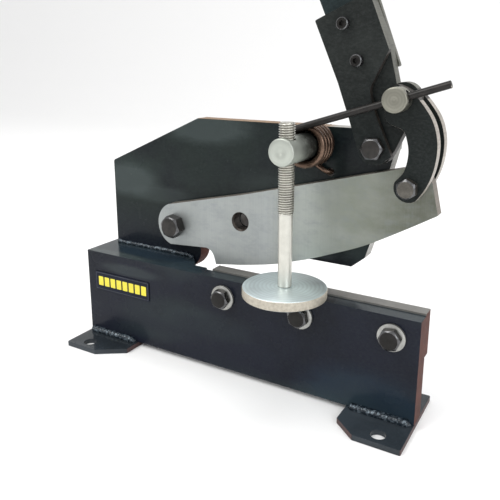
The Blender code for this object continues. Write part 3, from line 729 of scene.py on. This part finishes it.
def build_label():
    def outline(inset, r):
        x0, x1, z0, z1 = LABEL
        return rectangle(x0 + inset, x1 - inset, z0 + inset, z1 - inset, r)
    back = prism("label_back", outline(0, 1.2), -0.9, -GAP)
    dress(back, "frame", ["label_blue", "label_blue"], ["label_plate"])
    border = prism("label_border", outline(1.2, 1.0), *LABEL_MARKS_Y)
    combine(border, prism("tool", outline(1.6, 0.8), -2, 0))
    dress(border, "frame", ["label_grey", "label_grey"])
    for i in range(8):
        x = 15.4 + 8.5 * i
        bar = prism("label_mark_%d" % i, rectangle(x, x + 6.6, 60.8, 71.0, 0.8), *LABEL_MARKS_Y)
        dress(bar, "frame", ["label_gold", "label_gold"])


# ---- body plate and blades ----
def near_bar_hole(centre, reach):
    hole = place(BAR_HOLE[0], 0, BAR_HOLE[1])
    return hypot(centre.x - hole.x, centre.z - hole.z) < reach


def build_body():
    toe = smooth([(TOE_X, 83.8), (111.2, 86.7), (115.0, 89.6), (118.3, 93.2), (120.8, 97.2),
                  (122.5, 102.0)])
    throat = arc(128.0, 113.0, 5.5, 180.0, 90.0, 15)
    outline = [(7, BASE_TOP + GAP), (TOE_X, BASE_TOP + GAP)] + toe + throat
    outline += [(288, 118.5), (300.5, 129), (305.5, 146), (311, 180), (323.5, 232), (305, 243.5),
                (121.5, 243.5), (7, 192)]
    corners = tuple(range(len(outline) - 7, len(outline)))
    body = prism("body", rounded(outline, corners, 2.5, 3), *BODY_Y)
    drill(body, ((BLADE_PIVOT, PIVOT_BORE), (LEVER_PIVOT, PIVOT_BORE), (SHAFT, 8.3), (BAR_HOLE, 7.5),
                 (SPRING_HOLE, 3.5)), BODY_Y)

    def face_material(normal, centre, now):
        if now != 1:
            return now
        # The bar hole's wall takes the hole material, painted shade.
        if near_bar_hole(centre, 0.01):
            return 3
        if normal.x < -0.3:
            return 0
        return 2 if normal.z < -0.3 or centre.z < 0.128 else 1
    choose(body, face_material)
    dress(body, "frame", ["paint_navy", "edge_tan", "edge_brown", "hole_painted_shade"], ["body_plate"],
          0.8)
    lower = prism("lower_knife", [(154, 59), (LENGTH, 59), (LENGTH, 99.5), (154, 99.5)], *LOWER_Y)
    drill(lower, [((x, BLADE_BOLT_Z), BOLT_BORE) for x in BLADE_BOLTS.values()], LOWER_Y, 32)
    choose(lower, lambda normal, centre, now: normal.x > 0.9 and centre.x > RIGHT_END)
    dress(lower, "frame", ["blade_low_steel", "edge_brown"], ["lower_blade"], 0.4)
    for side, x in BLADE_BOLTS.items():
        centre = (x, BLADE_BOLT_Z)
        washer("blade_washer_" + side, centre, -2.8, -GAP, 5.4, 12.0, "frame")
        hex_bolt("blade_bolt_" + side, centre, -9.7, -3.1, 26.8, 5.0, 17.0, "frame", BOLT_SPIN[side],
                 "black_oxide")


def build_upper_blade():
    lobe = arc(*BLADE_PIVOT, 23.0, 114.0, 250.0)
    cutting = smooth([(178, 104), (202, 108.6), (220.5, 113), (236, 118), (252.3, 123.4), (273.1, 131.5),
                      (303.3, 144.2), (334, 161.2), (363.6, 179)])
    inside = smooth([(138.5, 115.3), (143.6, 113.0), (146.8, 108.6), (149.6, 99.8)], 4)
    outline = lobe + inside + cutting + [(357.5, 205), (349.5, 218.9), (334.7, 215), (178.2, 174.3)]
    n = len(outline)
    blade = prism("upper_knife", rounded(outline, (n - 4, n - 3), 1.2, 3), *UPPER_Y)
    drill(blade, ((BLADE_PIVOT, PIVOT_BORE), (LINK_BOLT, BOLT_BORE), (BAR_HOLE, 8.0)), UPPER_Y)
    front = UPPER_Y[0]
    combine(blade, turned("tool", BAR_HOLE, [(front - 1, 10.6), (front + 1.6, 8.0), (front + 3, 7.0)]))
    # The bar hole's countersink and wall take the hole material, painted shade.
    choose(blade, lambda normal, centre, now: 2 if near_bar_hole(centre, 0.0115) else now)
    dress(blade, "upper_blade", ["blade_steel", "edge_pink", "hole_painted_shade"], ["upper_blade"],
          0.45)
    pivot("blade_pivot", BLADE_PIVOT, 16.0, UPPER_Y[0] - GAP, 21.0, 18.0)


# ---- lever ----
def build_lever():
    lobe = arc(*LEVER_PIVOT, 14.0, 208.0, 322.0)
    notch = [(324.6, 224.0), (316.6, 242.0), (310.6, 255.3), (306.6, 266), (304.2, 276), (305.2, 281),
             (318.0, 308.0)]
    outline = lobe + notch[:2] + smooth(notch[1:6], 3)[1:] + notch[6:]
    outline += [on_handle(27.5, 45.0), on_handle(-22.5, 45.0), on_handle(-22.5, -9), (287, 253)]
    n = len(outline)
    front = prism("cheek_front_plate", rounded(outline, (n - 5, n - 4, n - 3, n - 2, n - 1), 1.5, 3),
                  *CHEEK_FRONT_Y)
    rear_outline = [on_handle(-22.5, -7), (322.0, 295.5), on_handle(27.5, 45.0), on_handle(-22.5, 45.0)]
    rear = prism("cheek_rear_plate", rounded(rear_outline, (0, 1, 2, 3), 1.5, 3), *CHEEK_REAR_Y)
    screws = ((SCREW_LOW, SCREW_BORE), (SCREW_HIGH, SCREW_BORE))
    drill(front, ((LEVER_PIVOT, PIVOT_BORE), *screws), LEVER_DRILL_Y, 32)
    drill(rear, screws, LEVER_DRILL_Y, 32)
    left, right = place(303, 0, 0).x, place(326, 0, 0).x
    choose(front, lambda normal, centre, now:
           2 if now == 1 and left < centre.x < right and centre.z < 0.309 else now)
    choose(rear, lambda normal, centre, now: normal.y <= 0.9)
    dress(front, "lever", ["paint_lever", "edge_grey", "edge_dim"], ["cheek_front"], 0.4)
    dress(rear, "lever", ["paint_lever", "edge_grey"], ["cheek_rear"], 0.5)
    joint_left, joint_right = on_handle(BAR_LEFT, -18), on_handle(BAR_RIGHT, 2)
    outline = arc(*LEVER_PIVOT, 15.0, 205.0, 318.0) + smooth([(326.5, 231), (333.5, 247), (340.5, 262)], 3)
    outline += arc(*LINK_PIN, 13.0, -28.0, 118.0)
    outline += [(joint_right[0] - GAP * 0.4, joint_right[1] - GAP),
                (joint_left[0] + 0.2, joint_left[1] - GAP), (286.4, 262)]
    core = prism("core_plate", outline, *UPPER_Y)
    drill(core, [(LEVER_PIVOT, PIVOT_BORE)], CORE_DRILL_Y)
    slot_tool = prism("tool", pin_slot(), UPPER_Y[0] - 5, UPPER_Y[1] + 5)
    choose(slot_tool, lambda normal, centre, now: 1)
    combine(core, slot_tool)
    top = place(0, 0, 279).z
    choose(core, lambda normal, centre, now: 2 if now == 1 and centre.z < top else now)
    dress(core, "lever", ["paint_lever", "edge_grey", "edge_dim"], ["lever_core"], 0.6)

    outline = [joint_left, joint_right, on_handle(BAR_RIGHT, BAR_END - 6),
               on_handle(BAR_RIGHT - 6, BAR_END), on_handle(BAR_LEFT + 6, BAR_END),
               on_handle(BAR_LEFT, BAR_END - 6)]
    bar = prism("bar", outline, *UPPER_Y)
    drill(bar, screws, LEVER_DRILL_Y, 32)
    dress(bar, "lever", ["paint_bar", "edge_grey"], ["handle_bar"], 0.8)

    for which, centre in (("low", SCREW_LOW), ("high", SCREW_HIGH)):
        handle_screw(which, centre)
        back_y = CHEEK_REAR_Y[1]
        hex_nut("handle_nut_" + which, centre, back_y + GAP, back_y + 5.3, 3.2, 10.0, "lever")
    build_grip()
    pivot("lever_pivot", LEVER_PIVOT, 14.2, CHEEK_FRONT_Y[0] - GAP, 17.0, 34.0)


def handle_screw(which, centre):
    """Socket head screw with a hexagonal recess."""
    front_y, back_y = CHEEK_FRONT_Y[0], CHEEK_REAR_Y[1]
    top = front_y - 6.3
    screw = turned("cap_screw_" + which, centre,
                   [(top + 2.6, 2.0, "hex"), (top, 2.1, "hex"), (top, 4.2), (top + 0.7, 5.0),
                    (front_y - GAP, 5.0), (front_y - GAP, 3.0), (back_y + 7.0, 3.0),
                    (back_y + 7.5, 2.5)], rims=(2, 3))
    dress(screw, "lever", ["black_oxide", "oxide_rim"], ["handle_screw_" + which])


def swung(point, centre, angle):
    """Point turned about a centre, clockwise seen from the front."""
    x, z = point[0] - centre[0], point[1] - centre[1]
    return (centre[0] + x * cos(angle) + z * sin(angle), centre[1] - x * sin(angle) + z * cos(angle))


def pin_slot():
    """Opening in the core that leaves the link pin free over the lever's whole swing."""
    points = []
    for i in range(45):
        lever = radians(LEVER_SWING) * i / 44
        pin = swung(LINK_PIN, LINK_BOLT, LINK_RATIO * lever)
        pin = swung(pin, BLADE_PIVOT, BLADE_RATIO * lever)
        points += arc(*swung(pin, LEVER_PIVOT, -lever), PIN_SHANK_R + 0.5, 0, 350, 10)
    points = sorted(set(points))

    def half(sequence):
        chain = []
        for p in sequence:
            while len(chain) > 1 and ((chain[-1][0] - chain[-2][0]) * (p[1] - chain[-2][1])
                                      - (chain[-1][1] - chain[-2][1]) * (p[0] - chain[-2][0])) <= 1e-9:
                chain.pop()
            chain.append(p)
        return chain[:-1]
    return half(points) + half(reversed(points))


def build_grip():
    """Ribbed rubber sleeve over the bar's upper end."""
    mid_side, mid_y = (BAR_LEFT + BAR_RIGHT) / 2, (UPPER_Y[0] + UPPER_Y[1]) / 2
    half_w, half_t = (BAR_RIGHT - BAR_LEFT) / 2, (UPPER_Y[1] - UPPER_Y[0]) / 2

    def ring(along, grow, corner):
        points = []
        for cx, cy, start in ((1, 1, 0), (-1, 1, 90), (-1, -1, 180), (1, -1, 270)):
            for a in range(0, 91, 15):
                s = mid_side + cx * (half_w + grow - corner) + corner * cos(radians(start + a))
                y = mid_y + cy * (half_t + grow - corner) + corner * sin(radians(start + a))
                x, z = on_handle(s, along)
                points.append(place(x, y, z))
        return points
    rings = [ring(BAR_END + GAP, GAP, 0.3), ring(GRIP_START, GAP, 0.3), ring(GRIP_START, 3.4, 5.0),
             ring(GRIP_START + 0.8, 4.4, 6.0), ring(GRIP_START + 7, 4.4, 6.0),
             ring(GRIP_START + 8, 3.2, 6.0)]
    along = GRIP_START + 12
    while along < BAR_END - 16:
        rings += [ring(along + step, grow, 6.0)
                  for step, grow in ((0, 3.2), (0.8, 4.3), (3.8, 4.3), (4.6, 3.2))]
        along += 7.5
    rings += [ring(BAR_END - 8, 3.2, 6.0), ring(BAR_END - 7, 4.4, 6.0), ring(BAR_END + 2.5, 4.4, 6.0),
              ring(BAR_END + 4.2, 3.2, 5.2), ring(BAR_END + 5, 1.0, 4.0)]
    verts = [v for r in rings for v in r]
    sleeve = raw_object("grip_sleeve", verts, skin(len(rings), len(rings[0])))
    dress(sleeve, "lever", ["grip_rubber"], ["grip"])


# ---- links and pin ----
def link_outline():
    upper = arc(*LINK_PIN, 11.5, 100.0, 180.0)
    lower = arc(*LINK_BOLT, 12.2, 160.0, 300.0)
    inner = smooth([upper[-1], (318.7, 258), (321.5, 252), (327.5, 249.3), (334.5, 246),
                    (337.6, 238.5), (339.2, 230.4), (338.6, 221.4), (336.0, 213), lower[0]])
    outer = smooth([lower[-1], (352.6, 198), (356.6, 205.8), (359.6, 215), (361.2, 224.1), (361.7, 232.8),
                    (361.1, 240.3), (358.9, 249.4), (355.2, 257.6), (350, 265), (344.4, 271.4),
                    (337.5, 277.6), upper[0]])
    return upper[:-1] + inner[:-1] + lower[:-1] + outer[:-1]


def build_links():
    high = place(0, 0, 270).z
    for name, span in (("link_front", LINK_FRONT_Y), ("link_rear", LINK_REAR_Y)):
        link = prism(name + "_plate", link_outline(), *span)
        drill(link, ((LINK_PIN, PIN_SHANK_R + GAP), (LINK_BOLT, BOLT_BORE)), span, 32)
        choose(link, lambda normal, centre, now: 2 if now == 1 and centre.z > high else now)
        dress(link, "links", ["paint_lever", "edge_light", "edge_dim"], [name], 0.6)
    hex_bolt("link_bolt", LINK_BOLT, LINK_FRONT_Y[0] - 8.5, LINK_FRONT_Y[0] - GAP, 62.0, 5.0, 15.0, "links",
             3.0, "oxide_bare")
    hex_nut("link_nut", LINK_BOLT, LINK_REAR_Y[1] + GAP, LINK_REAR_Y[1] + 8.3, 5.2, 17.0, "links")

    under, rear = LINK_FRONT_Y[0] - GAP, LINK_REAR_Y[1]
    pin = turned("pin", LINK_PIN,
                 [(PIN_FRONT + 0.35, 0.5), (PIN_FRONT, 1.6), (PIN_FRONT, 9.2),
                  (PIN_FRONT + 0.3, 9.75), (PIN_FRONT + 0.8, PIN_HEAD_R),
                  (under - 0.4, PIN_HEAD_R), (under, PIN_HEAD_R - 0.4),
                  (under, PIN_SHANK_R),
                  (rear + 2.1, PIN_SHANK_R), (rear + 2.1, 3.2), (rear + 3.5, 3.2),
                  (rear + 3.5, PIN_SHANK_R), (rear + 5.5, PIN_SHANK_R),
                  (rear + 6, PIN_SHANK_R - 0.5)], steps=72)
    angle = rod_angle()
    dx, dz = cos(angle), sin(angle)
    for shift in (-2.0, -1.0, 0.0, 1.0, 2.0):
        x, z = LINK_PIN[0] - dz * shift, LINK_PIN[1] + dx * shift
        combine(pin, rod((x - 14 * dx, COIL_FRONT, z - 14 * dz), (x + 14 * dx, COIL_FRONT, z + 14 * dz),
                         WIRE_R + 0.4, 32))
    dress(pin, "link_pin", ["pin_steel", "zinc"], ["link_pin"])
    washer("pin_washer", LINK_PIN, rear + GAP, rear + 1.9, PIN_SHANK_R + GAP, 9.0, "link_pin")
    washer("pin_ring", LINK_PIN, rear + 2.3, rear + 3.3, 3.5, 6.2, "link_pin", 0.15)


# ---- return spring ----
def rod_angle():
    """Angle of the spring's long leg, from the coil's tangent point through the link pin."""
    dx, dz = LINK_PIN[0] - SHAFT[0], LINK_PIN[1] - SHAFT[1]
    distance = hypot(dx, dz)
    return atan2(dz, dx) - atan2(COIL_R, (distance ** 2 - COIL_R ** 2) ** 0.5)


def build_spring():
    """One wire: short leg in the body plate, coil round the shaft, long leg through the pin."""
    angle = rod_angle()
    dx, dz = cos(angle), sin(angle)
    sx, sz = SHAFT
    start = degrees(angle) + 90.0
    tangent = (sx + COIL_R * cos(radians(start)), sz + COIL_R * sin(radians(start)))
    reach = (ROD_END_X - tangent[0]) / dx
    hx, hz = SPRING_HOLE
    path = [(tangent[0] + reach * t * dx, COIL_FRONT, tangent[1] + reach * t * dz)
            for t in (1.0, 0.8, 0.6, 0.4, 0.2, 0.1, 0.03)]
    legs = len(path)
    finish, steps = 246.0 + 4 * 360.0, 260
    for i in range(steps + 1):
        t = i / steps
        a = radians(start + (finish - start) * t)
        ease = min(1.0, t * 12.0)
        y = COIL_FRONT + (COIL_BACK - COIL_FRONT) * t * ease
        path.append((sx + COIL_R * cos(a), y, sz + COIL_R * sin(a)))
    end = radians(finish)
    last = (sx + COIL_R * cos(end), COIL_BACK, sz + COIL_R * sin(end))
    path += smooth([last, ((last[0] + hx - 5) / 2, COIL_BACK, (last[2] + hz + 2.6) / 2),
                    (hx - 4.5, COIL_BACK + 0.2, hz + 1.8), (hx - 1.2, COIL_BACK + 1.6, hz + 0.5),
                    (hx, COIL_BACK + 5, hz), (hx, 52, hz)], 4)[1:]
    hook = legs + steps
    wire = sweep("spring_wire", path, WIRE_R, 16, lambda i: 0 if i < legs + 12 else 1,
                 lambda i: 1.0 - 0.27 * min(1.0, max(0.0, (i - hook) / 3.0)))
    mesh = wire.data
    outer_end = max(polygon.center.x for polygon in mesh.polygons)
    choose(wire, lambda normal, centre, now: 2 if centre.x > outer_end - 0.0004 else now)
    for name in ("spring_leg", "spring_coil", "edge_light"):
        mesh.materials.append(PALETTE[name])
    mesh.shade_smooth()
    mesh.set_sharp_from_angle(angle=radians(40))
    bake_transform(wire)
    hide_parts("spring_arm", "spring_coil", "spring_hook")


# ---- support shaft and hold-down ----
def build_support():
    back = BODY_Y[1]
    shaft = turned("shaft", SHAFT,
                   [(SHAFT_FRONT + 0.9, 0.4), (SHAFT_FRONT, 1.7),
                    (SHAFT_FRONT, SHAFT_R - 1.0), (SHAFT_FRONT + 0.3, SHAFT_R - 0.35),
                    (SHAFT_FRONT + 1.0, SHAFT_R), (BODY_Y[0] - GAP, SHAFT_R),
                    (BODY_Y[0] - GAP, 8.0), (back + 16, 8.0), (back + 17, 7.0)],
                   steps=80)
    combine(shaft, rod((SHAFT[0], SCREW_Y, SHAFT[1] - 20), (SHAFT[0], SCREW_Y, SHAFT[1] + 20),
                       SCREW_R + 0.35))
    dress(shaft, "frame", ["shaft_steel", "zinc"], ["support_shaft"])
    washer("shaft_washer", SHAFT, back + GAP, back + 3.3, 8.4, 15.0, "frame")
    hex_nut("shaft_nut", SHAFT, back + 3.6, back + 14.6, 8.2, 24.0, "frame")

    centre = (SHAFT[0], SCREW_Y)
    top = DISC_Z[1]
    dress(threaded_screw(centre, top), "hold_down_screw", ["thread_steel", "thread_groove_shade"],
          ["hold_down_screw"])
    disc = turned("hold_down_pad", centre,
                  [(DISC_Z[0], DISC_R - 1.0), (DISC_Z[0] + 0.5, DISC_R - 0.2), (DISC_Z[0] + 1.0, DISC_R),
                   (top - 1.0, DISC_R), (top - 0.4, DISC_R - 0.3), (top, DISC_R - 1.1), (top, 5.4),
                   (top - 0.2, 5.2), (top - 5.5, 5.2)], axis="Z", steps=128, rims=(1, 2, 3))
    dress(disc, "hold_down_foot", ["disc_steel", "disc_edge"], ["hold_down_foot"])


def threaded_screw(centre, top):
    """Plain shank below, rolled thread above, spigot in the foot."""
    around, per_turn = 40, 10
    turn = [2 * pi * k / around for k in range(around)]
    rings = [(top - 5.2, 4.5), (top - 4.8, 4.9), (top + GAP, 4.9), (top + GAP, 5.6),
             (top + 0.7, SHANK_R), (THREAD_END - 1.5, SHANK_R)]
    verts = [place(centre[0] + r * cos(a), centre[1] + r * sin(a), z) for z, r in rings for a in turn]
    ridges = [1.0] * len(verts)
    count = int((SCREW_TOP - THREAD_END) / PITCH * per_turn)
    for i in range(count + 1):
        z = THREAD_END + (SCREW_TOP - THREAD_END) * i / count
        fade = min(1.0, (z - THREAD_END) / 3.0)
        crown = min(1.0, (SCREW_TOP - z) / 1.6)
        for k, a in enumerate(turn):
            phase = (z / PITCH - k / around) % 1.0
            ridge = max(0.0, min(1.0, 1.55 - abs(phase - 0.5) * 4.2))
            ridges.append(ridge if fade > 0.3 else 1.0)
            r = SHANK_R + (SCREW_R - SHANK_R) * fade - THREAD_DEPTH * fade * (1.0 - ridge)
            r -= (1 - crown) * ridge
            verts.append(place(centre[0] + r * cos(a), centre[1] + r * sin(a), z))
    faces = skin(len(rings) + count + 1, around)
    # Faces deep in the grooves take material 1, painted shade in the thread.
    indices = [int(sum(ridges[v] for v in face) / len(face) < 0.34) for face in faces]
    return raw_object("pressure_screw", verts, faces, indices)


add_camera()
add_studio()
make_paints()
make_steels()
make_rubber_and_label()
build_base()
build_label()
build_body()
build_upper_blade()
build_lever()
build_links()
build_spring()
build_support()
